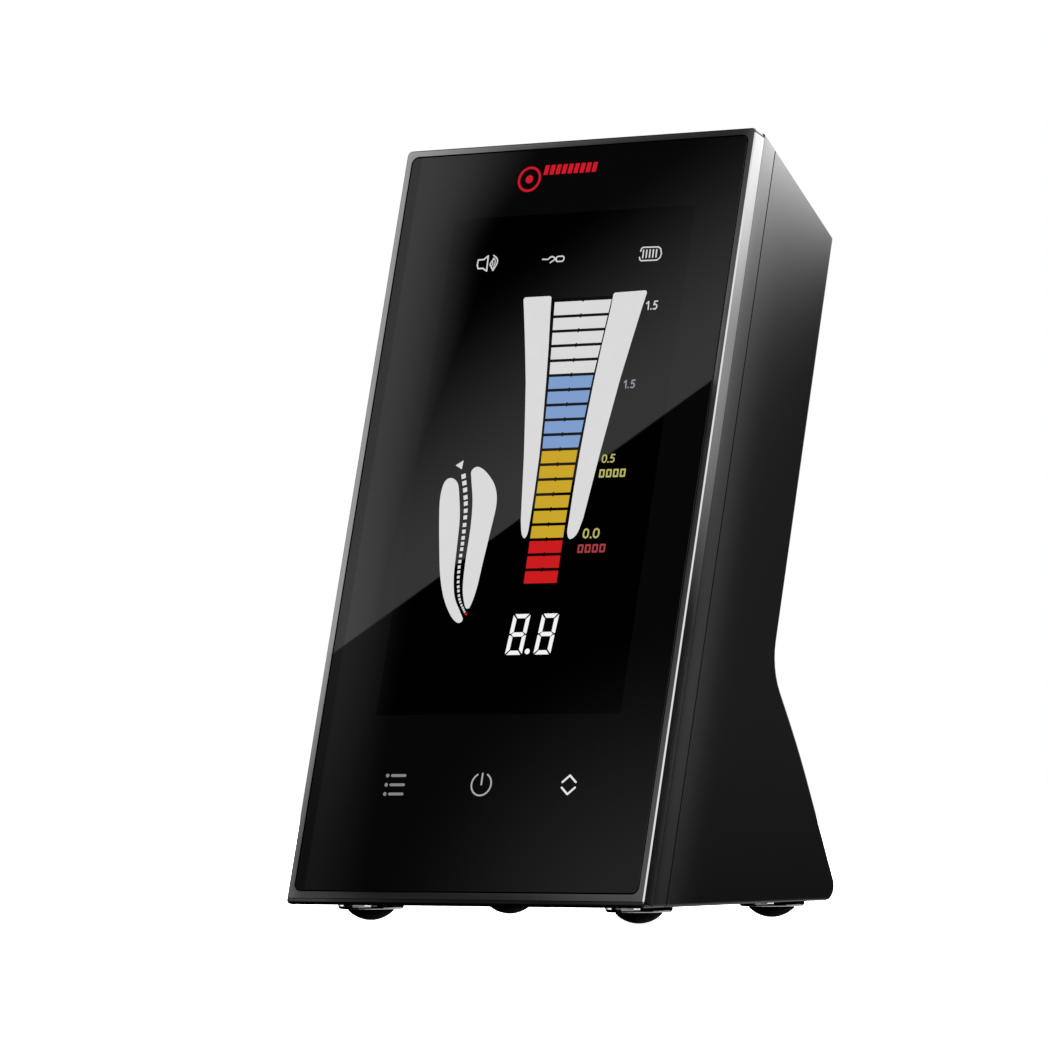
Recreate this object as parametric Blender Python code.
"""Apex locator: a wedge-shaped desktop unit with a tall, tilted glass front.

World frame: metres, +Z up, +X to the unit's right as its user sees it, the front facing -Y.
The origin is the bottom centre of the whole unit, on the surface that it stands on.

Everything parallel to the glass is modelled in the panel's own frame. There X is across, Y is
the depth behind the glass's front face and Z is the height along the glass. PANEL_TILT turns
that frame back, and PANEL_FOOT lifts it to where the glass's surround begins.
"""

import math

import bmesh
import bpy
from mathutils import Vector

MM = 0.001

# Outer body
WIDTH = 80.0 * MM
PANEL_TILT = math.radians(16.28)
PANEL_FOOT = 4.5 * MM  # height of the surround's lower edge
PANEL_TOP = 154.2 * MM  # height along the glass where the sloping top would meet it
BODY_DEPTH = 33.95 * MM  # between the parallel front and back faces
TOP_SLOPE = math.radians(34.8)  # fall of the top face towards the back
FOOT_LEAN = math.radians(27.3)  # of the foot's rear face, from the vertical
CALF_LEAN = math.radians(32.8)  # of the rear face between the foot and the waist
FOOT_END = 73.3 * MM  # where the foot's rear face would meet the underside
CALF_END = 32.5 * MM  # height of the bend between the foot and the calf
UNDERSIDE = 3.2 * MM
HEEL_RADIUS = 2.8 * MM
BEND_RADIUS = 150.0 * MM
WAIST_RADIUS = 11.5 * MM

# Rounding of the body's edges
TOE_ROUND = 1.0 * MM
BACK_TOP_ROUND = 0.9 * MM
TOP_SIDE_ROUND = 0.4 * MM
REAR_SIDE_ROUND = 0.6 * MM  # of the underside and of the whole back

# Depths of the layers behind the glass's front face
FRAME_DEPTH = 3.4 * MM
FRAME_GAP = 0.1 * MM
PARTING_DEPTH = 8.0 * MM
PARTING_GAP = 0.3 * MM
GLASS_THICK = 1.5 * MM
PLATE_FRONT = 1.8 * MM
PLATE_BACK = 3.4 * MM

# Surround and glass
RIM_WIDTH = 1.34 * MM
RIM_FOOT = 1.30 * MM
FRAME_TOP = 153.0 * MM
FRAME_CORNER = 1.0 * MM
FRAME_CHAMFER = 0.25 * MM
GLASS_GAP = 0.25 * MM
GLASS_CORNER = 1.3 * MM
GLASS_GRIND = 0.15 * MM  # chamfer of the glass's edges
LIP_GAP = 0.1 * MM
CARRIER_GAP = 0.35 * MM  # between the surround's opening and the plate inside it
CARRIER_OVERLAP = 1.5 * MM  # how far that plate runs into the front housing

# Housing walls
WALL = 2.2 * MM
FRONT_WALL = 3.6 * MM
TONGUE_GAP = 0.25 * MM
TONGUE_START = 6.0 * MM
TONGUE_END = 9.5 * MM
FRONT_ROOM_END = 20.0 * MM  # past the parting, so the room is open to the rear housing
REAR_ROOM_START = 4.0 * MM
WINDOW_END = 6.0 * MM  # past the plate that the glass sits on

# Display
DISPLAY_HALF = 27.5 * MM
DISPLAY_FOOT = 37.0 * MM
DISPLAY_TOP = 138.5 * MM
DISPLAY_FRONT = 2.1 * MM
DISPLAY_THICK = 1.8 * MM
BACKLIGHT_THICK = 2.8 * MM
BRACKET_THICK = 0.8 * MM
LAYER_GAP = 0.25 * MM
BACKLIGHT_MARGIN = 2.0 * MM
BRACKET_MARGIN = 3.0 * MM
UPPER_MARGIN = 1.0 * MM
RELIEF_HALF = 18.0 * MM
RELIEF_INSET = 12.0 * MM
RELIEF_CORNER = 3.0 * MM
CELL_CORNER = 0.4 * MM

# Touch keys
KEY_SPACING = 20.0 * MM
KEY_HEIGHT = 22.4 * MM
KEY_PAD_RADIUS = 5.0 * MM
KEY_BOARD_HALF = 30.0 * MM
KEY_BOARD_FOOT = 13.0 * MM
KEY_BOARD_TOP = 32.0 * MM
KEY_BOARD_FRONT = 2.9 * MM
KEY_BOARD_THICK = 1.0 * MM
KEY_BOARD_GAP = 0.5 * MM

# Feet
FOOT_X = 30.2 * MM
FOOT_FRONT = 14.4 * MM  # behind the surround's lower edge
FOOT_REAR = 63.9 * MM
RING_RADIUS = 6.35 * MM
RING_BOTTOM = 2.1 * MM
DOME_RADIUS = 6.2 * MM
DOME_FLAT = 0.6 * MM
RING_GAP = 0.1 * MM  # between the ring and the underside
RING_HOLE = 2.9 * MM
RING_RIM = 0.6 * MM  # radius of the ring's lower edge
PAD_GAP = 0.15 * MM  # between the pad and the ring
FOOT_BOSS_RADIUS = 3.0 * MM
FOOT_BOSS = (4.5 * MM, 10.5 * MM)
FOOT_HOLE = (2.0 * MM, 12.0 * MM)
FOOT_SCREW_HEIGHT = 2.3 * MM

# Battery compartment, on the back
DOOR_HALF = 27.2 * MM
DOOR_FOOT = 80.3 * MM
DOOR_TOP = 123.7 * MM
DOOR_THICK = 1.6 * MM
DOOR_SCREW_INSET = 3.3 * MM
DOOR_CORNER = 2.0 * MM
HATCH_HALF = 25.0 * MM
HATCH_FOOT = 87.0 * MM
HATCH_TOP = 117.0 * MM
HATCH_CORNER = 1.5 * MM
HATCH_START = 20.0 * MM  # depth that everything cut through the back wall starts at
LEDGE_BACK = 32.0 * MM
LEDGE_FRONT = 28.9 * MM
LEDGE_END = 32.4 * MM  # inside the back wall
LEDGE_SIDE = 2.8 * MM
LEDGE_UP = 3.3 * MM
TRAY_HALF = 27.0 * MM
TRAY_FOOT = 85.0 * MM
TRAY_TOP = 119.0 * MM
TRAY_FRONT = 15.0 * MM
TRAY_BACK = 28.2 * MM
TRAY_FLOOR = 1.2 * MM
TRAY_WALL = 1.6 * MM
PACK_HALF = 24.0 * MM
PACK_FOOT = 87.8 * MM
PACK_TOP = 116.2 * MM
PACK_FRONT = 17.0 * MM
PACK_BACK = 27.5 * MM
PACK_CORNER = 2.5 * MM
CONTACT_HEIGHTS = {"positive": 108.0 * MM, "negative": 96.0 * MM}
CONTACT_ACROSS = (-25.1 * MM, -24.5 * MM)
CONTACT_DEPTHS = (16.5 * MM, 26.0 * MM)
CONTACT_HALF = 2.5 * MM
DOOR_SINK_RADIUS = 2.7 * MM
DOOR_SINK_DEPTH = 1.1 * MM
DOOR_HEAD_INSET = 0.1 * MM
DOOR_CUT = 5.0 * MM  # past both faces of the door

# Fasteners
HOUSING_SCREW_X = 34.0 * MM
HOUSING_SCREW_HEIGHTS = {"lower": 68.0 * MM, "upper": 134.0 * MM}
BOARD_SCREW_X = 20.0 * MM
BOARD_SCREW_HEIGHTS = {"lower": 9.5 * MM, "upper": 143.0 * MM}
THREAD_RADIUS = 1.1 * MM
THREAD_CLEARANCE = 0.3 * MM
HOLE_RADIUS = THREAD_RADIUS + THREAD_CLEARANCE
BOSS_ROOT = 3.0 * MM  # inside the front housing's plate
FRONT_BOSS_RADIUS = 2.8 * MM
FRONT_BOSS_END = 14.0 * MM
BOARD_BOSS_RADIUS = 2.4 * MM
PILOT_START = 5.0 * MM
PILOT_END = 20.0 * MM
TUBE_RADIUS = 4.0 * MM
TUBE_START = 14.3 * MM
TUBE_END = 32.5 * MM
BORE_RADIUS = 2.9 * MM
BORE_START = 17.0 * MM
HOUSING_SCREW_DEPTH = 18.9 * MM
# Each screw: its head's radius and thickness, and its whole length
HOUSING_SCREW = (2.5 * MM, 1.6 * MM, 12.0 * MM)
BOARD_SCREW = (2.2 * MM, 1.4 * MM, 7.0 * MM)
DOOR_SCREW = (2.3 * MM, 0.7 * MM, 4.6 * MM)
FOOT_SCREW = (2.6 * MM, 0.8 * MM, 7.5 * MM)
RECESS_HALF = 0.3 * MM
THREAD_TIP = 0.6 * MM

# Main board
BOARD_FRONT = 10.2 * MM
BOARD_THICK = 1.6 * MM
BOARD_HALF = 26.0 * MM
BOARD_FOOT = 6.0 * MM
BOARD_TOP = 146.0 * MM
CAN_ACROSS = (3.0 * MM, 16.0 * MM)
CAN_HEIGHTS = (49.0 * MM, 62.0 * MM)
CAN_THICK = 2.4 * MM
CAN_WALL = 0.4 * MM

# Sockets, in the left side
SOCKET_DEPTH = 17.9 * MM
LEAD_SOCKET_HEIGHT = 42.0 * MM
CHARGE_SOCKET_HEIGHT = 25.0 * MM
SOCKET_BOARD_OUTER = -36.5 * MM
SOCKET_BOARD_INNER = -20.0 * MM
SOCKET_BOARD_DEPTHS = (12.4 * MM, 13.6 * MM)
SOCKET_BOARD_HEIGHTS = (16.0 * MM, 50.0 * MM)
LEAD_HOLE_RADIUS = 4.0 * MM
LEAD_HOLE = (30.0 * MM, 50.0 * MM)  # left of the middle, as all of the sockets' lengths
LEAD_NOSE_RADIUS = 3.7 * MM
LEAD_NOSE = (30.0 * MM, 39.8 * MM)
LEAD_BORE_RADIUS = 1.8 * MM
LEAD_BORE = (27.0 * MM, 45.0 * MM)
LEAD_BODY_INNER = -25.0 * MM
LEAD_BODY_HALF = 4.2 * MM
CHARGE_AT = -30.0 * MM
CHARGE_HALF_HEIGHT = 4.6 * MM
CHARGE_HALF_DEPTH = 1.75 * MM
CHARGE_SHELL = 0.4 * MM
CHARGE_REACH = 9.7 * MM
CHARGE_CUT = 20.0 * MM
CHARGE_BASE = ((-5.0 * MM, 4.0 * MM), 2.2 * MM, (-5.0 * MM, 5.0 * MM))
CHARGE_MOUTH_START = 4.0 * MM
CHARGE_MOUTH_LENGTH = 9.0 * MM
CHARGE_TONGUE = ((-9.0 * MM, -3.0 * MM), (-0.35 * MM, 0.35 * MM), (-3.3 * MM, 3.3 * MM))
HEADER_ACROSS = (-25.0 * MM, -20.5 * MM)
HEADER_BACK = 17.0 * MM
HEADER_HEIGHTS = (32.0 * MM, 36.0 * MM)

# Speaker, above slots in the underside
SPEAKER_Y = 42.0 * MM  # behind the surround's lower edge
# Profiles of (radius, height) in millimetres
SPEAKER_SEAT = [(14.3, 5.0), (15.5, 5.0), (15.5, 7.6), (14.3, 7.6)]
SPEAKER_BASKET = [
    (11.0, 5.9),
    (14.0, 5.9),
    (14.0, 7.0),
    (12.4, 7.0),
    (9.4, 10.0),
    (6.0, 10.0),
    (6.0, 9.2),
    (9.0, 9.2),
    (11.0, 7.2),
]
SPEAKER_CONE = [(3.0, 8.2), (10.4, 6.2), (10.4, 6.6), (3.0, 8.7), (0.0, 8.7), (0.0, 8.2)]
MAGNET_RADIUS = 7.5 * MM
MAGNET_HEIGHTS = (10.3 * MM, 14.0 * MM)
SOUND_SLOTS = 5
SOUND_SLOT_WIDTH = 1.4 * MM
SOUND_SLOT_PITCH = 3.4 * MM
SOUND_SLOT_HALF = 7.0 * MM
SOUND_SLOT_TOP = 5.45 * MM

GAP = 0.3 * MM
SMALL_CORNER = 1.0 * MM  # of the boards and the battery tray
FAR = 200.0 * MM  # beyond the body, for shapes that only cut
PAST_BACK = 40.0 * MM
ROUND_STEPS = 24
TUBE_STEPS = 20
BOSS_STEPS = 16
HOLE_STEPS = 12
VISIBLE_STEPS = 32
DOME_STEPS = 7
ALONG_DEPTH = (-math.pi / 2, 0.0, 0.0)  # turns a shape's own +Z to the panel's +Y
TO_THE_LEFT = (0.0, -math.pi / 2, 0.0)  # turns a shape's own +Z to -X
SIDES = {"left": -1, "right": 1}
TOE, HEEL, BEND, WAIST, BACK_TOP, CREST = range(6)  # corners of the body's side view


def clear_scene():
    for item in list(bpy.data.objects):
        bpy.data.objects.remove(item, do_unlink=True)


# Materials


def finish(name, colour, roughness, metallic=0.0):
    material = bpy.data.materials.new(name)
    material.use_nodes = True
    shader = material.node_tree.nodes["Principled BSDF"]
    shader.inputs["Base Color"].default_value = (*colour, 1.0)
    shader.inputs["Roughness"].default_value = roughness
    shader.inputs["Metallic"].default_value = metallic
    material.diffuse_color = (*colour, 1.0)
    return material


# Outlines


def panel_point(y, z):
    """A point of the side view, given behind the surround's lower edge and above the floor, as
    depth and height of the panel's frame."""
    up = z - PANEL_FOOT
    depth = y * math.cos(PANEL_TILT) - up * math.sin(PANEL_TILT)
    height = y * math.sin(PANEL_TILT) + up * math.cos(PANEL_TILT)
    return Vector((depth, height))


def side_point(depth, height):
    """The inverse of panel_point."""
    y = depth * math.cos(PANEL_TILT) + height * math.sin(PANEL_TILT)
    up = height * math.cos(PANEL_TILT) - depth * math.sin(PANEL_TILT)
    return Vector((y, up + PANEL_FOOT))


def crossing(point_a, along_a, point_b, along_b):
    """Where two lines meet."""
    cross = along_a.x * along_b.y - along_a.y * along_b.x
    offset = point_b - point_a
    return point_a + along_a * ((offset.x * along_b.y - offset.y * along_b.x) / cross)


def body_corners():
    """Sharp corners of the body's side view in the panel's frame, from the toe counterclockwise
    with depth to the right. The crest is where the sloping top would meet the glass's face."""
    start = panel_point(0.0, 0.0)
    level = panel_point(1.0, 0.0) - start
    heel = panel_point(FOOT_END, UNDERSIDE)
    toe = crossing(Vector((0.0, 0.0)), Vector((0.0, 1.0)), heel, level)
    rise = CALF_END - UNDERSIDE
    bend = panel_point(FOOT_END - rise * math.tan(FOOT_LEAN), CALF_END)
    calf = panel_point(-math.sin(CALF_LEAN), math.cos(CALF_LEAN)) - start
    back = Vector((BODY_DEPTH, 0.0))
    waist = crossing(back, Vector((0.0, 1.0)), bend, calf)
    crest = Vector((0.0, PANEL_TOP))
    fall = panel_point(math.cos(TOP_SLOPE), -math.sin(TOP_SLOPE)) - start
    back_top = crossing(back, Vector((0.0, 1.0)), crest, fall)
    return [toe, heel, bend, waist, back_top, crest]


def inset(corners, distances):
    """The polygon with edge i, from corner i to the next, moved inwards by distances[i]."""
    count = len(corners)
    lines = []
    for index, corner in enumerate(corners):
        along = (corners[(index + 1) % count] - corner).normalized()
        inward = Vector((-along.y, along.x))
        lines.append((corner + inward * distances[index], along))
    return [crossing(*lines[index - 1], *lines[index]) for index in range(count)]


def rounded(corners, radii, steps=6):
    """The polygon with an arc at each corner whose radius isn't zero."""
    outline = []
    for index, corner in enumerate(corners):
        radius = radii[index]
        if not radius:
            outline.append(corner.copy())
            continue
        before = (corners[index - 1] - corner).normalized()
        after = (corners[(index + 1) % len(corners)] - corner).normalized()
        half = before.angle(after) / 2
        centre = corner + (before + after).normalized() * (radius / math.sin(half))
        first = corner + before * (radius / math.tan(half)) - centre
        last = corner + after * (radius / math.tan(half)) - centre
        start = math.atan2(first.y, first.x)
        turn = math.atan2(last.y, last.x) - start
        turn = (turn + math.pi) % (2 * math.pi) - math.pi
        for step in range(steps + 1):
            angle = start + turn * step / steps
            outline.append(centre + Vector((math.cos(angle), math.sin(angle))) * radius)
    return outline


def rectangle(half_width, foot, top, radius=0.0, steps=6):
    corners = [
        Vector((-half_width, foot)),
        Vector((half_width, foot)),
        Vector((half_width, top)),
        Vector((-half_width, top)),
    ]
    return rounded(corners, [radius] * 4, steps)


# Objects


def place(name, mesh, parent=None, location=(0.0, 0.0, 0.0), rotation=(0.0, 0.0, 0.0)):
    item = bpy.data.objects.new(name, mesh)
    bpy.context.scene.collection.objects.link(item)
    item.parent = parent
    item.location = location
    item.rotation_euler = rotation
    return item


def mesh_from(name, shape, smooth_angle=None):
    """A mesh made from a bmesh, with its faces turned outwards."""
    bmesh.ops.recalc_face_normals(shape, faces=shape.faces[:])
    mesh = bpy.data.meshes.new(name)
    shape.to_mesh(mesh)
    shape.free()
    if smooth_angle:
        mesh.shade_smooth()
        mesh.set_sharp_from_angle(angle=smooth_angle)
    return mesh


def extruded(name, points, along):
    """A solid between a flat outline and its copy moved by the vector along."""
    shape = bmesh.new()
    near = [shape.verts.new(point) for point in points]
    far = [shape.verts.new(point + along) for point in points]
    shape.faces.new(near)
    shape.faces.new(far)
    for index in range(len(points)):
        following = (index + 1) % len(points)
        shape.faces.new((near[index], near[following], far[following], far[index]))
    return mesh_from(name, shape)


def side_prism(name, outline, half_width):
    """A solid across the panel's X with the outline in its depth and height."""
    points = [Vector((-half_width, point.x, point.y)) for point in outline]
    return extruded(name, points, Vector((2 * half_width, 0.0, 0.0)))


def plate(name, outline, front, back):
    """A solid through the panel's depth with the outline across and up the panel."""
    points = [Vector((point.x, front, point.y)) for point in outline]
    return extruded(name, points, Vector((0.0, back - front, 0.0)))


def block(name, x_range, y_range, z_range):
    outline = [
        Vector((x_range[0], z_range[0])),
        Vector((x_range[1], z_range[0])),
        Vector((x_range[1], z_range[1])),
        Vector((x_range[0], z_range[1])),
    ]
    return plate(name, outline, *y_range)


def turned(name, profile, steps=ROUND_STEPS):
    """A closed profile of (radius, height) points turned about Z."""
    shape = bmesh.new()
    rings = [shape.verts.new((radius, 0.0, height)) for radius, height in profile]
    edges = [shape.edges.new((rings[i], rings[(i + 1) % len(rings)])) for i in range(len(rings))]
    bmesh.ops.spin(
        shape,
        geom=edges,
        cent=(0.0, 0.0, 0.0),
        axis=(0.0, 0.0, 1.0),
        angle=2 * math.pi,
        steps=steps,
        use_merge=True,
    )
    bmesh.ops.remove_doubles(shape, verts=shape.verts[:], dist=1e-7)
    loose = [edge for edge in shape.edges if not edge.link_faces]
    bmesh.ops.delete(shape, geom=loose, context="EDGES")
    return mesh_from(name, shape, smooth_angle=math.radians(40))


def rod(name, radius, foot, top, steps=ROUND_STEPS):
    return turned(name, [(0.0, foot), (radius, foot), (radius, top), (0.0, top)], steps)


def tool(item):
    """Marks an object as one that only shapes others."""
    item.hide_render = True
    item.display_type = "WIRE"
    return item


def combine(target, other, operation):
    modifier = target.modifiers.new(other.name, "BOOLEAN")
    modifier.operation = operation
    modifier.solver = "EXACT"
    modifier.object = other
    return target


def cut(target, name, mesh, parent, location=(0.0, 0.0, 0.0), rotation=(0.0, 0.0, 0.0)):
    cutter = tool(place(name, mesh, parent, location, rotation))
    return combine(target, cutter, "DIFFERENCE")


def add(target, name, mesh, parent, location=(0.0, 0.0, 0.0), rotation=(0.0, 0.0, 0.0)):
    piece = tool(place(name, mesh, parent, location, rotation))
    return combine(target, piece, "UNION")


def keep(target, name, mesh, parent):
    limit = tool(place(name, mesh, parent))
    return combine(target, limit, "INTERSECT")


def paint(item, material):
    item.data.materials.clear()
    item.data.materials.append(material)
    return item


# The body that the surround and both housings are cut from


def corner_run(corners, index, radius):
    """How far from its corner a fillet of this radius touches the two faces."""
    before = corners[index - 1] - corners[index]
    after = corners[(index + 1) % len(corners)] - corners[index]
    return radius / math.tan(before.angle(after) / 2)


def body_mesh():
    """The body's prism, with bevel weights that give each edge its own rounding, and the bevel
    width that a weight of one stands for."""
    corners = body_corners()
    outline = rounded(corners, [0.0, HEEL_RADIUS, BEND_RADIUS, WAIST_RADIUS, 0.0, 0.0])
    back_top = len(outline) - 2
    across = {
        0: corner_run(corners, TOE, TOE_ROUND),
        back_top: corner_run(corners, BACK_TOP, BACK_TOP_ROUND),
    }
    width = max(*across.values(), REAR_SIDE_ROUND)

    shape = bmesh.new()
    weight = shape.edges.layers.float.new("bevel_weight_edge")
    left = [shape.verts.new((-WIDTH / 2, point.x, point.y)) for point in outline]
    right = [shape.verts.new((WIDTH / 2, point.x, point.y)) for point in outline]
    shape.faces.new(left)
    shape.faces.new(right)
    for index in range(len(outline)):
        following = (index + 1) % len(outline)
        shape.faces.new((left[index], left[following], right[following], right[index]))
        radius = REAR_SIDE_ROUND if index < back_top else TOP_SIDE_ROUND
        for row in (left, right):
            shape.edges.get((row[index], row[following]))[weight] = radius / width
        if index in across:
            shape.edges.get((left[index], right[index]))[weight] = across[index] / width
    return mesh_from("body", shape), width


def body_slice(name, mesh, width, panel):
    """A copy of the whole rounded body, for a slab to cut a layer from."""
    item = place(name, mesh.copy(), panel)
    bevel = item.modifiers.new("edge_rounding", "BEVEL")
    bevel.limit_method = "WEIGHT"
    bevel.width = width
    bevel.segments = 3
    bevel.use_clamp_overlap = False
    return item


def slab(name, front, back):
    return block(name, (-WIDTH, WIDTH), (front, back), (-FAR, FAR))


def shell_space(wall, front, back=None):
    """The side outline of the room inside a housing with this wall, from the depth front to the
    back wall, or to the depth back."""
    inner = inset(body_corners(), [wall, wall, wall, wall, wall, front])
    if back is None:
        radii = [0.0, max(HEEL_RADIUS - wall, 0.0), BEND_RADIUS - wall, WAIST_RADIUS + wall, 0.0, 0.0]
        return rounded(inner, radii)
    limit = Vector((back, 0.0))
    upright = Vector((0.0, 1.0))
    low = crossing(limit, upright, inner[TOE], inner[HEEL] - inner[TOE])
    high = crossing(limit, upright, inner[CREST], inner[BACK_TOP] - inner[CREST])
    return [inner[TOE], low, high, inner[CREST]]


# Sub-parts


def trim_frame(panel, material):
    """The metal surround: a bar all round the glass with a chamfer along its outer edge."""
    corners = rectangle(WIDTH / 2, 0.0, FRAME_TOP)
    outline = rounded(corners, [0.0, 0.0, FRAME_CORNER, FRAME_CORNER])
    mesh = plate("trim_frame", outline, 0.0, FRAME_DEPTH)
    item = place("trim_frame", mesh, panel)
    chamfered = mesh.attributes.new("bevel_weight_edge", "FLOAT", "EDGE")
    for edge in mesh.edges:
        ends = [mesh.vertices[index].co for index in edge.vertices]
        on_front = max(abs(end.y) for end in ends) < 0.01 * MM
        above_foot = max(end.z for end in ends) > 0.01 * MM
        chamfered.data[edge.index].value = float(on_front and above_foot)
    bevel = item.modifiers.new("outer_chamfer", "BEVEL")
    bevel.limit_method = "WEIGHT"
    bevel.width = FRAME_CHAMFER
    bevel.segments = 1
    opening = rectangle(
        WIDTH / 2 - RIM_WIDTH, RIM_FOOT, FRAME_TOP - RIM_WIDTH, GLASS_CORNER + GLASS_GAP
    )
    cut(item, "frame_opening", plate("frame_opening", opening, -FAR, FAR), panel)
    return paint(item, material)


def cover_glass(panel, material):
    half = WIDTH / 2 - RIM_WIDTH - GLASS_GAP
    outline = rectangle(
        half, RIM_FOOT + GLASS_GAP, FRAME_TOP - RIM_WIDTH - GLASS_GAP, GLASS_CORNER
    )
    item = place("cover_glass", plate("cover_glass", outline, 0.0, GLASS_THICK), panel)
    bevel = item.modifiers.new("edge_grinding", "BEVEL")
    bevel.width = GLASS_GRIND
    bevel.segments = 1
    bevel.limit_method = "ANGLE"
    bevel.angle_limit = math.radians(60)
    return paint(item, material)


def front_housing(body, panel, material):
    """The layer behind the surround, with the plate that carries the glass and the display."""
    item = body_slice("front_housing", *body, panel)
    parting = PARTING_DEPTH - PARTING_GAP / 2
    keep(item, "front_layer", slab("front_layer", -FAR, parting), panel)
    seat = block(
        "surround_seat",
        (-WIDTH, WIDTH),
        (-FAR, FRAME_DEPTH + FRAME_GAP),
        (-LIP_GAP, FAR),
    )
    cut(item, "surround_seat", seat, panel)

    plate_outline = rectangle(
        WIDTH / 2 - RIM_WIDTH - CARRIER_GAP,
        RIM_FOOT + CARRIER_GAP,
        FRAME_TOP - RIM_WIDTH - CARRIER_GAP,
        GLASS_CORNER,
    )
    carrier = plate("glass_carrier", plate_outline, PLATE_FRONT, PLATE_BACK + CARRIER_OVERLAP)
    add(item, "glass_carrier", carrier, panel)
    tongue = side_prism(
        "tongue",
        shell_space(WALL + TONGUE_GAP, TONGUE_START, TONGUE_END),
        WIDTH / 2 - WALL - TONGUE_GAP,
    )
    add(item, "tongue", tongue, panel)
    space = shell_space(FRONT_WALL, PLATE_BACK, FRONT_ROOM_END)
    room = side_prism("front_room", space, WIDTH / 2 - FRONT_WALL)
    cut(item, "front_room", room, panel)

    window = rectangle(DISPLAY_HALF + GAP, DISPLAY_FOOT - GAP, DISPLAY_TOP + GAP)
    cut(item, "display_window", plate("display_window", window, 0.0, WINDOW_END), panel)
    keys = rectangle(
        KEY_BOARD_HALF + KEY_BOARD_GAP,
        KEY_BOARD_FOOT - KEY_BOARD_GAP,
        KEY_BOARD_TOP + KEY_BOARD_GAP,
    )
    cut(item, "key_window", plate("key_window", keys, 0.0, WINDOW_END), panel)

    for side, sign in SIDES.items():
        for level, height in HOUSING_SCREW_HEIGHTS.items():
            boss = rod("boss", FRONT_BOSS_RADIUS, BOSS_ROOT, FRONT_BOSS_END, BOSS_STEPS)
            at = (sign * HOUSING_SCREW_X, 0.0, height)
            add(item, f"front_boss_{level}_{side}", boss, panel, at, ALONG_DEPTH)
            hole = rod("hole", HOLE_RADIUS, PILOT_START, PILOT_END, HOLE_STEPS)
            cut(item, f"front_hole_{level}_{side}", hole, panel, at, ALONG_DEPTH)
        for level, height in BOARD_SCREW_HEIGHTS.items():
            boss = rod("boss", BOARD_BOSS_RADIUS, BOSS_ROOT, BOARD_FRONT - GAP, BOSS_STEPS)
            at = (sign * BOARD_SCREW_X, 0.0, height)
            add(item, f"board_boss_{level}_{side}", boss, panel, at, ALONG_DEPTH)
            hole = rod("hole", HOLE_RADIUS, PILOT_START, PILOT_END, HOLE_STEPS)
            cut(item, f"board_hole_{level}_{side}", hole, panel, at, ALONG_DEPTH)
    return paint(item, material)


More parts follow.
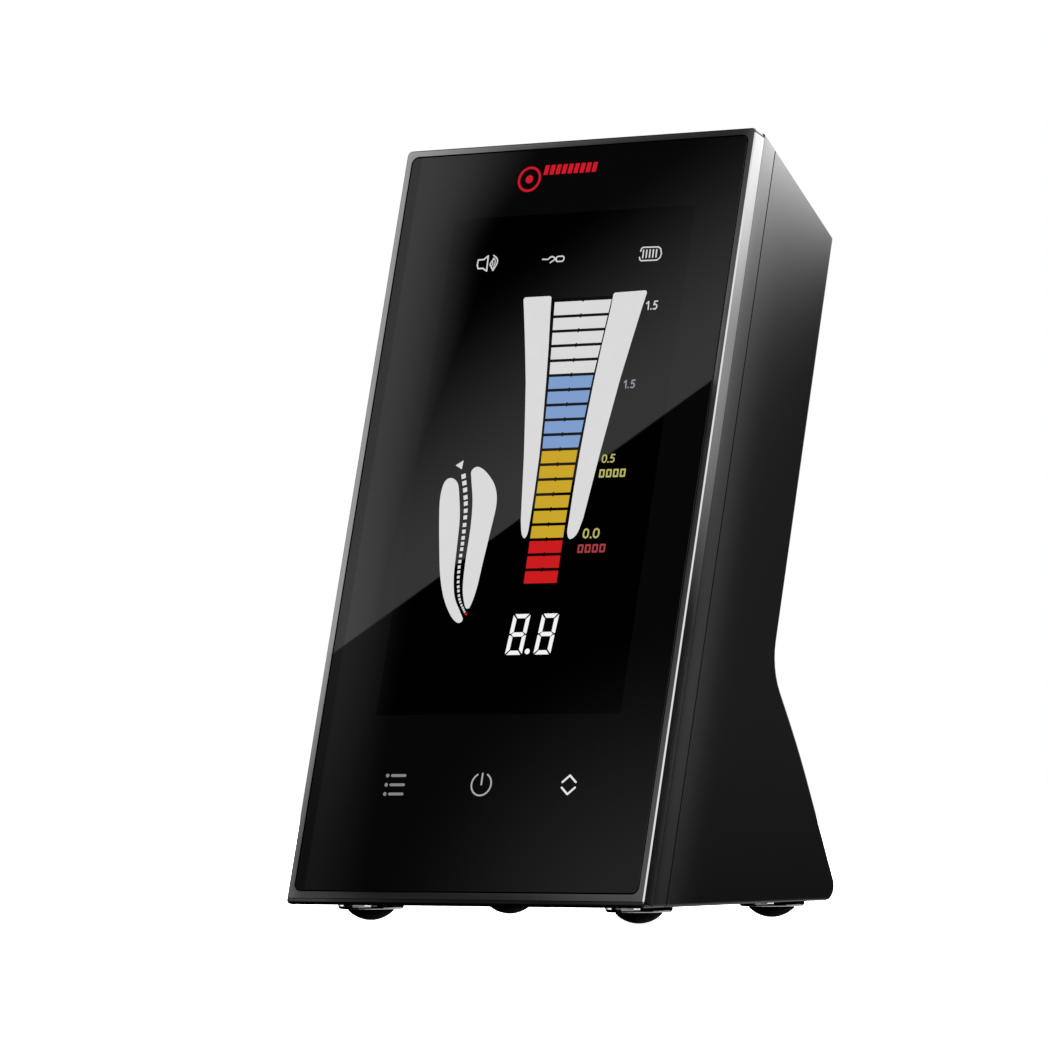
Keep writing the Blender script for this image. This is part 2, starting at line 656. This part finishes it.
def rear_housing(body, panel, base, material):
    """The deep rear shell with the battery hatch, the sockets' holes, the bosses and the sound
    slots."""
    item = body_slice("rear_housing", *body, panel)
    parting = PARTING_DEPTH + PARTING_GAP / 2
    keep(item, "rear_layer", slab("rear_layer", parting, FAR), panel)
    room = side_prism("rear_room", shell_space(WALL, REAR_ROOM_START), WIDTH / 2 - WALL)
    cut(item, "rear_room", room, panel)

    ledge = rectangle(DOOR_HALF + LEDGE_SIDE, DOOR_FOOT - LEDGE_UP, DOOR_TOP + LEDGE_UP)
    add(item, "hatch_ledge", plate("hatch_ledge", ledge, LEDGE_FRONT, LEDGE_END), panel)
    hatch = rectangle(HATCH_HALF, HATCH_FOOT, HATCH_TOP, HATCH_CORNER, 3)
    cut(item, "battery_hatch", plate("battery_hatch", hatch, HATCH_START, PAST_BACK), panel)
    pocket = rectangle(DOOR_HALF + GAP, DOOR_FOOT - GAP, DOOR_TOP + GAP, DOOR_CORNER + GAP, 4)
    cut(item, "door_pocket", plate("door_pocket", pocket, LEDGE_BACK, PAST_BACK), panel)
    for level, height in door_screw_heights().items():
        hole = rod("hole", HOLE_RADIUS, HATCH_START, PAST_BACK, HOLE_STEPS)
        cut(item, f"door_hole_{level}", hole, panel, (0.0, 0.0, height), ALONG_DEPTH)

    for side, sign in SIDES.items():
        for level, height in HOUSING_SCREW_HEIGHTS.items():
            at = (sign * HOUSING_SCREW_X, 0.0, height)
            tube = rod("tube", TUBE_RADIUS, TUBE_START, TUBE_END, TUBE_STEPS)
            add(item, f"screw_tube_{level}_{side}", tube, panel, at, ALONG_DEPTH)
            bore = rod("bore", BORE_RADIUS, BORE_START, PAST_BACK, TUBE_STEPS)
            cut(item, f"screw_bore_{level}_{side}", bore, panel, at, ALONG_DEPTH)
            hole = rod("hole", HOLE_RADIUS, BOARD_FRONT, PILOT_END, HOLE_STEPS)
            cut(item, f"screw_hole_{level}_{side}", hole, panel, at, ALONG_DEPTH)
        for level, y in (("front", FOOT_FRONT), ("rear", FOOT_REAR)):
            at = (sign * FOOT_X, y, 0.0)
            boss = rod("boss", FOOT_BOSS_RADIUS, *FOOT_BOSS, BOSS_STEPS)
            add(item, f"foot_boss_{level}_{side}", boss, base, at)
            hole = rod("hole", HOLE_RADIUS, *FOOT_HOLE, HOLE_STEPS)
            cut(item, f"foot_hole_{level}_{side}", hole, base, at)

    lead_hole = rod("lead_hole", LEAD_HOLE_RADIUS, *LEAD_HOLE)
    at = (0.0, SOCKET_DEPTH, LEAD_SOCKET_HEIGHT)
    cut(item, "lead_hole", lead_hole, panel, at, TO_THE_LEFT)
    charge_hole = charge_outline(GAP)
    at = (CHARGE_AT, SOCKET_DEPTH, CHARGE_SOCKET_HEIGHT)
    charge_cutter = extruded("charge_hole", charge_hole, Vector((-CHARGE_CUT, 0.0, 0.0)))
    cut(item, "charge_hole", charge_cutter, panel, at)

    seat = turned("speaker_seat", scaled(SPEAKER_SEAT))
    add(item, "speaker_seat", seat, base, (0.0, SPEAKER_Y, 0.0))
    for slot in range(SOUND_SLOTS):
        across = (slot - (SOUND_SLOTS - 1) / 2) * SOUND_SLOT_PITCH
        opening = block(
            "slot",
            (across - SOUND_SLOT_WIDTH / 2, across + SOUND_SLOT_WIDTH / 2),
            (-SOUND_SLOT_HALF, SOUND_SLOT_HALF),
            (0.0, SOUND_SLOT_TOP),
        )
        cut(item, f"sound_slot_{slot}", opening, base, (0.0, SPEAKER_Y, 0.0))
    return paint(item, material)


def charge_outline(margin):
    """A flat oblong standing across X, as points about the charging socket's axis, that is larger
    all round than the socket's nose by the margin."""
    half_height = CHARGE_HALF_HEIGHT + margin
    half_depth = CHARGE_HALF_DEPTH + margin
    corners = [
        Vector((-half_depth, -half_height)),
        Vector((half_depth, -half_height)),
        Vector((half_depth, half_height)),
        Vector((-half_depth, half_height)),
    ]
    outline = rounded(corners, [half_depth * 0.95] * 4, 4)
    return [Vector((0.0, point.x, point.y)) for point in outline]


def display(panel, cell, light_guide, steel):
    back = DISPLAY_FRONT + DISPLAY_THICK
    outline = rectangle(DISPLAY_HALF, DISPLAY_FOOT, DISPLAY_TOP, CELL_CORNER, 2)
    item = place("display_cell", plate("display_cell", outline, DISPLAY_FRONT, back), panel)
    paint(item, cell)

    front = back + LAYER_GAP
    back = front + BACKLIGHT_THICK
    outline = rectangle(
        DISPLAY_HALF + BACKLIGHT_MARGIN, DISPLAY_FOOT - BACKLIGHT_MARGIN, DISPLAY_TOP + UPPER_MARGIN
    )
    item = place("backlight_unit", plate("backlight_unit", outline, front, back), panel)
    paint(item, light_guide)

    front = back + LAYER_GAP
    outline = rectangle(
        DISPLAY_HALF + BRACKET_MARGIN, DISPLAY_FOOT - BRACKET_MARGIN, DISPLAY_TOP + UPPER_MARGIN
    )
    item = place(
        "display_bracket", plate("display_bracket", outline, front, front + BRACKET_THICK), panel
    )
    relief = rectangle(
        RELIEF_HALF, DISPLAY_FOOT + RELIEF_INSET, DISPLAY_TOP - RELIEF_INSET, RELIEF_CORNER, 3
    )
    cut(item, "bracket_relief", plate("bracket_relief", relief, 0.0, FAR), panel)
    paint(item, steel)


def touch_keys(panel, board, foam):
    outline = rectangle(KEY_BOARD_HALF, KEY_BOARD_FOOT, KEY_BOARD_TOP, SMALL_CORNER, 2)
    back = KEY_BOARD_FRONT + KEY_BOARD_THICK
    mesh = plate("touch_key_board", outline, KEY_BOARD_FRONT, back)
    paint(place("touch_key_board", mesh, panel), board)
    for name, place_across in (("menu", -1), ("power", 0), ("select", 1)):
        pad = rod("touch_pad", KEY_PAD_RADIUS, GLASS_THICK + GAP, KEY_BOARD_FRONT - GAP)
        at = (place_across * KEY_SPACING, 0.0, KEY_HEIGHT)
        paint(place(f"touch_pad_{name}", pad, panel, at, ALONG_DEPTH), foam)


def main_board(panel, board, chip, steel, plastic):
    back = BOARD_FRONT + BOARD_THICK
    outline = rectangle(BOARD_HALF, BOARD_FOOT, BOARD_TOP, SMALL_CORNER, 2)
    item = place("main_board", plate("main_board", outline, BOARD_FRONT, back), panel)
    for side, sign in SIDES.items():
        for level, height in BOARD_SCREW_HEIGHTS.items():
            hole = rod("hole", HOLE_RADIUS, 0.0, PILOT_END, HOLE_STEPS)
            at = (sign * BOARD_SCREW_X, 0.0, height)
            cut(item, f"main_board_hole_{level}_{side}", hole, panel, at, ALONG_DEPTH)
    paint(item, board)

    face = back + GAP
    packages = {
        "controller_chip": ((-16, -4), 1.4, (62, 74), chip),
        "signal_chip": ((6, 13), 1.2, (52, 59), chip),
        "memory_chip": ((4, 9), 1.2, (72, 78), chip),
        "display_connector": ((-12, 12), 2.4, (34, 38), plastic),
        "battery_connector": ((-22, -14), 2.6, (128, 134), plastic),
    }
    for name, (across, thick, up, material) in packages.items():
        mesh = block(
            name,
            (across[0] * MM, across[1] * MM),
            (face, face + thick * MM),
            (up[0] * MM, up[1] * MM),
        )
        paint(place(name, mesh, panel), material)

    mesh = block("shield_can", CAN_ACROSS, (face, face + CAN_THICK), CAN_HEIGHTS)
    can = place("shield_can", mesh, panel)
    inside = block(
        "shield_inside",
        (CAN_ACROSS[0] + CAN_WALL, CAN_ACROSS[1] - CAN_WALL),
        (0.0, face + CAN_THICK - CAN_WALL),
        (CAN_HEIGHTS[0] + CAN_WALL, CAN_HEIGHTS[1] - CAN_WALL),
    )
    cut(can, "shield_inside", inside, panel)
    paint(can, steel)


def sockets(panel, board, plastic, steel):
    """The measuring lead's round socket and the flat charging socket on a board of their own."""
    board_back = SOCKET_BOARD_DEPTHS[1]
    across = (SOCKET_BOARD_OUTER, SOCKET_BOARD_INNER)
    mesh = block("socket_board", across, SOCKET_BOARD_DEPTHS, SOCKET_BOARD_HEIGHTS)
    paint(place("socket_board", mesh, panel), board)
    depths = (board_back + GAP, HEADER_BACK)
    header = block("socket_header", HEADER_ACROSS, depths, HEADER_HEIGHTS)
    paint(place("socket_header", header, panel), plastic)

    at = (0.0, SOCKET_DEPTH, LEAD_SOCKET_HEIGHT)
    lead = place(
        "measuring_socket",
        block(
            "measuring_socket",
            (SOCKET_BOARD_OUTER, LEAD_BODY_INNER),
            (board_back + GAP, 2 * SOCKET_DEPTH - board_back - GAP),
            (LEAD_SOCKET_HEIGHT - LEAD_BODY_HALF, LEAD_SOCKET_HEIGHT + LEAD_BODY_HALF),
        ),
        panel,
    )
    nose = rod("lead_nose", LEAD_NOSE_RADIUS, *LEAD_NOSE)
    add(lead, "lead_nose", nose, panel, at, TO_THE_LEFT)
    bore = rod("lead_bore", LEAD_BORE_RADIUS, *LEAD_BORE)
    cut(lead, "lead_bore", bore, panel, at, TO_THE_LEFT)
    paint(lead, plastic)

    at = (CHARGE_AT, SOCKET_DEPTH, CHARGE_SOCKET_HEIGHT)
    nose_mesh = extruded("charging_socket", charge_outline(0.0), Vector((-CHARGE_REACH, 0.0, 0.0)))
    charge = place("charging_socket", nose_mesh, panel, at)
    across, base_back, up = CHARGE_BASE
    base = block("charge_base", across, (board_back + GAP - SOCKET_DEPTH, base_back), up)
    add(charge, "charge_base", base, panel, at)
    length = Vector((-CHARGE_MOUTH_LENGTH, 0.0, 0.0))
    mouth = extruded("charge_mouth", charge_outline(-CHARGE_SHELL), length)
    cut(charge, "charge_mouth", mouth, panel, (at[0] - CHARGE_MOUTH_START, at[1], at[2]))
    add(charge, "charge_tongue", block("charge_tongue", *CHARGE_TONGUE), panel, at)
    paint(charge, steel)


def speaker(base, steel, cone, magnet):
    at = (0.0, SPEAKER_Y, 0.0)
    basket = turned("speaker_basket", scaled(SPEAKER_BASKET))
    paint(place("speaker_basket", basket, base, at), steel)
    membrane = turned("speaker_cone", scaled(SPEAKER_CONE))
    paint(place("speaker_cone", membrane, base, at), cone)
    core = rod("speaker_magnet", MAGNET_RADIUS, *MAGNET_HEIGHTS)
    paint(place("speaker_magnet", core, base, at), magnet)


def scaled(profile):
    return [(radius * MM, height * MM) for radius, height in profile]


def door_screw_heights():
    return {"lower": DOOR_FOOT + DOOR_SCREW_INSET, "upper": DOOR_TOP - DOOR_SCREW_INSET}


def battery(panel, plastic, wrap, brass):
    outline = rectangle(TRAY_HALF, TRAY_FOOT, TRAY_TOP, SMALL_CORNER, 2)
    tray = place("battery_tray", plate("battery_tray", outline, TRAY_FRONT, TRAY_BACK), panel)
    hollow = rectangle(TRAY_HALF - TRAY_WALL, TRAY_FOOT + TRAY_WALL, TRAY_TOP - TRAY_WALL)
    cut(tray, "tray_hollow", plate("tray_hollow", hollow, TRAY_FRONT + TRAY_FLOOR, PAST_BACK), panel)
    paint(tray, plastic)
    outline = rectangle(PACK_HALF, PACK_FOOT, PACK_TOP, PACK_CORNER, 4)
    mesh = plate("battery_pack", outline, PACK_FRONT, PACK_BACK)
    paint(place("battery_pack", mesh, panel), wrap)
    for name, middle in CONTACT_HEIGHTS.items():
        leaf = block(
            f"battery_contact_{name}",
            CONTACT_ACROSS,
            CONTACT_DEPTHS,
            (middle - CONTACT_HALF, middle + CONTACT_HALF),
        )
        paint(place(f"battery_contact_{name}", leaf, panel), brass)


def battery_door(panel, plastic, steel):
    """The lift-off door, whose origin is its centre, with its two screws."""
    centre = Vector((0.0, BODY_DEPTH, (DOOR_FOOT + DOOR_TOP) / 2))
    half_height = (DOOR_TOP - DOOR_FOOT) / 2
    outline = rectangle(DOOR_HALF, -half_height, half_height, DOOR_CORNER, 4)
    door = place("battery_door", plate("battery_door", outline, -DOOR_THICK, 0.0), panel, centre)
    for level, height in door_screw_heights().items():
        at = (0.0, BODY_DEPTH, height)
        sink = rod("sink", DOOR_SINK_RADIUS, -DOOR_SINK_DEPTH, DOOR_CUT)
        cut(door, f"door_sink_{level}", sink, panel, at, ALONG_DEPTH)
        hole = rod("hole", HOLE_RADIUS, -DOOR_CUT, DOOR_CUT, HOLE_STEPS)
        cut(door, f"door_screw_hole_{level}", hole, panel, at, ALONG_DEPTH)
        screw = cross_screw(f"battery_door_screw_{level}", DOOR_SCREW, panel)
        screw.location = (0.0, BODY_DEPTH - DOOR_HEAD_INSET, height)
        screw.rotation_euler = ALONG_DEPTH
        paint(screw, steel)
    return paint(door, plastic)


def cross_screw(name, size, parent, steps=ROUND_STEPS):
    """A pan-head screw along its own Z, with the head's top at its origin and a cross recess."""
    head_radius, head_thick, length = size
    rim = head_thick * 0.35
    profile = [
        (0.0, 0.0),
        (0.0, -length),
        (THREAD_RADIUS * 0.7, -length),
        (THREAD_RADIUS, -length + THREAD_TIP),
        (THREAD_RADIUS, -head_thick),
        (head_radius, -head_thick),
        (head_radius, -rim),
        (head_radius - rim, 0.0),
    ]
    item = place(name, turned(name, profile, steps), parent)
    reach = head_radius * 0.6
    for arm in (0.0, math.pi / 2):
        depths = (-rim * 1.6, head_thick)
        bar = block("recess", (-reach, reach), (-RECESS_HALF, RECESS_HALF), depths)
        cutter = tool(place(f"{name}_recess_{round(math.degrees(arm))}", bar, item))
        cutter.rotation_euler = (0.0, 0.0, arm)
        combine(item, cutter, "DIFFERENCE")
    return item


def fasteners(panel, steel):
    for side, sign in SIDES.items():
        for level, height in HOUSING_SCREW_HEIGHTS.items():
            name = f"housing_screw_{level}_{side}"
            screw = cross_screw(name, HOUSING_SCREW, panel, BOSS_STEPS)
            screw.location = (sign * HOUSING_SCREW_X, HOUSING_SCREW_DEPTH, height)
            screw.rotation_euler = ALONG_DEPTH
            paint(screw, steel)
        for level, height in BOARD_SCREW_HEIGHTS.items():
            name = f"board_screw_{level}_{side}"
            screw = cross_screw(name, BOARD_SCREW, panel, BOSS_STEPS)
            depth = BOARD_FRONT + BOARD_THICK + GAP + BOARD_SCREW[1]
            screw.location = (sign * BOARD_SCREW_X, depth, height)
            screw.rotation_euler = ALONG_DEPTH
            paint(screw, steel)


def ring_profile():
    """A washer with a rounded lower rim, and a recess below for the screw's head."""
    top = UNDERSIDE - RING_GAP
    profile = [(RING_HOLE, top), (RING_HOLE, RING_BOTTOM)]
    for step in range(5):
        angle = math.pi / 2 * step / 4
        radius = RING_RADIUS - RING_RIM + RING_RIM * math.sin(angle)
        profile.append((radius, RING_BOTTOM + RING_RIM - RING_RIM * math.cos(angle)))
    profile.append((RING_RADIUS, top))
    return profile


def pad_profile():
    """A rubber dome, below the ring, that ends in a small flat on the floor."""
    top = RING_BOTTOM - PAD_GAP
    centre = math.sqrt(DOME_RADIUS**2 - DOME_FLAT**2)
    steep = math.acos((centre - RING_BOTTOM + 2 * PAD_GAP) / DOME_RADIUS)
    flat = math.asin(DOME_FLAT / DOME_RADIUS)
    profile = [(0.0, top), (DOME_RADIUS * math.sin(steep), top)]
    for step in range(DOME_STEPS + 1):
        angle = steep + (flat - steep) * step / DOME_STEPS
        profile.append((DOME_RADIUS * math.sin(angle), centre - DOME_RADIUS * math.cos(angle)))
    profile.append((0.0, 0.0))
    return profile


def feet(base, metal, rubber, steel):
    for side, sign in SIDES.items():
        for level, y in (("front", FOOT_FRONT), ("rear", FOOT_REAR)):
            at = (sign * FOOT_X, y, 0.0)
            name = f"foot_ring_{level}_{side}"
            paint(place(name, turned(name, ring_profile(), VISIBLE_STEPS), base, at), metal)
            name = f"foot_pad_{level}_{side}"
            paint(place(name, turned(name, pad_profile(), VISIBLE_STEPS), base, at), rubber)
            name = f"foot_screw_{level}_{side}"
            screw = cross_screw(name, FOOT_SCREW, base, BOSS_STEPS)
            screw.location = (at[0], y, FOOT_SCREW_HEIGHT)
            screw.rotation_euler = (math.pi, 0.0, 0.0)
            paint(screw, steel)


def front_reach():
    """The body's foremost point, on the toe's fillet, behind the surround's lower edge."""
    corners = body_corners()
    toe = side_point(*corners[TOE])
    run = corner_run(corners, TOE, TOE_ROUND)
    touch = toe.x + run * math.sin(PANEL_TILT)
    return touch + TOE_ROUND * math.cos(PANEL_TILT) - TOE_ROUND


def rear_reach():
    """The body's rearmost point, on the fillet between the back and the top."""
    corners = body_corners()
    back_top = side_point(*corners[BACK_TOP])
    run = corner_run(corners, BACK_TOP, BACK_TOP_ROUND)
    touch = back_top.x - run * math.sin(PANEL_TILT)
    return touch - BACK_TOP_ROUND * math.cos(PANEL_TILT) + BACK_TOP_ROUND


def main():
    clear_scene()
    middle = (front_reach() + rear_reach()) / 2
    base = place("base_frame", None, None, (0.0, -middle, 0.0))
    panel = place("panel_frame", None, base, (0.0, 0.0, PANEL_FOOT), (-PANEL_TILT, 0.0, 0.0))

    satin_metal = finish("satin_metal", (0.32, 0.32, 0.33), 0.30, 1.0)
    glass = finish("black_glass", (0.004, 0.004, 0.005), 0.04)
    front_black = finish("front_black", (0.035, 0.035, 0.036), 0.38)
    rear_black = finish("rear_black", (0.012, 0.012, 0.013), 0.34)
    chrome = finish("chrome", (0.75, 0.75, 0.76), 0.12, 1.0)
    rubber = finish("rubber", (0.008, 0.008, 0.008), 0.75)
    steel = finish("zinc_steel", (0.55, 0.55, 0.56), 0.35, 1.0)
    brass = finish("contact_brass", (0.75, 0.56, 0.25), 0.30, 1.0)
    board = finish("circuit_board", (0.015, 0.14, 0.06), 0.45)
    chip = finish("chip_black", (0.02, 0.02, 0.022), 0.55)
    pale_plastic = finish("pale_plastic", (0.72, 0.70, 0.64), 0.5)
    grey_plastic = finish("grey_plastic", (0.16, 0.16, 0.17), 0.5)
    foam = finish("foam_grey", (0.18, 0.18, 0.19), 0.85)
    cell = finish("display_dark", (0.01, 0.01, 0.012), 0.15)
    light_guide = finish("light_guide_white", (0.85, 0.86, 0.88), 0.4)
    wrap = finish("battery_blue", (0.03, 0.12, 0.40), 0.4)
    cone = finish("cone_paper", (0.05, 0.05, 0.05), 0.7)
    magnet = finish("magnet_grey", (0.20, 0.20, 0.21), 0.5, 0.8)

    body = body_mesh()
    trim_frame(panel, satin_metal)
    cover_glass(panel, glass)
    front_housing(body, panel, front_black)
    rear_housing(body, panel, base, rear_black)
    display(panel, cell, light_guide, steel)
    touch_keys(panel, board, foam)
    main_board(panel, board, chip, steel, pale_plastic)
    sockets(panel, board, chip, steel)
    speaker(base, steel, cone, magnet)
    battery(panel, grey_plastic, wrap, brass)
    battery_door(panel, rear_black, steel)
    fasteners(panel, steel)
    feet(base, chrome, rubber, steel)


main()
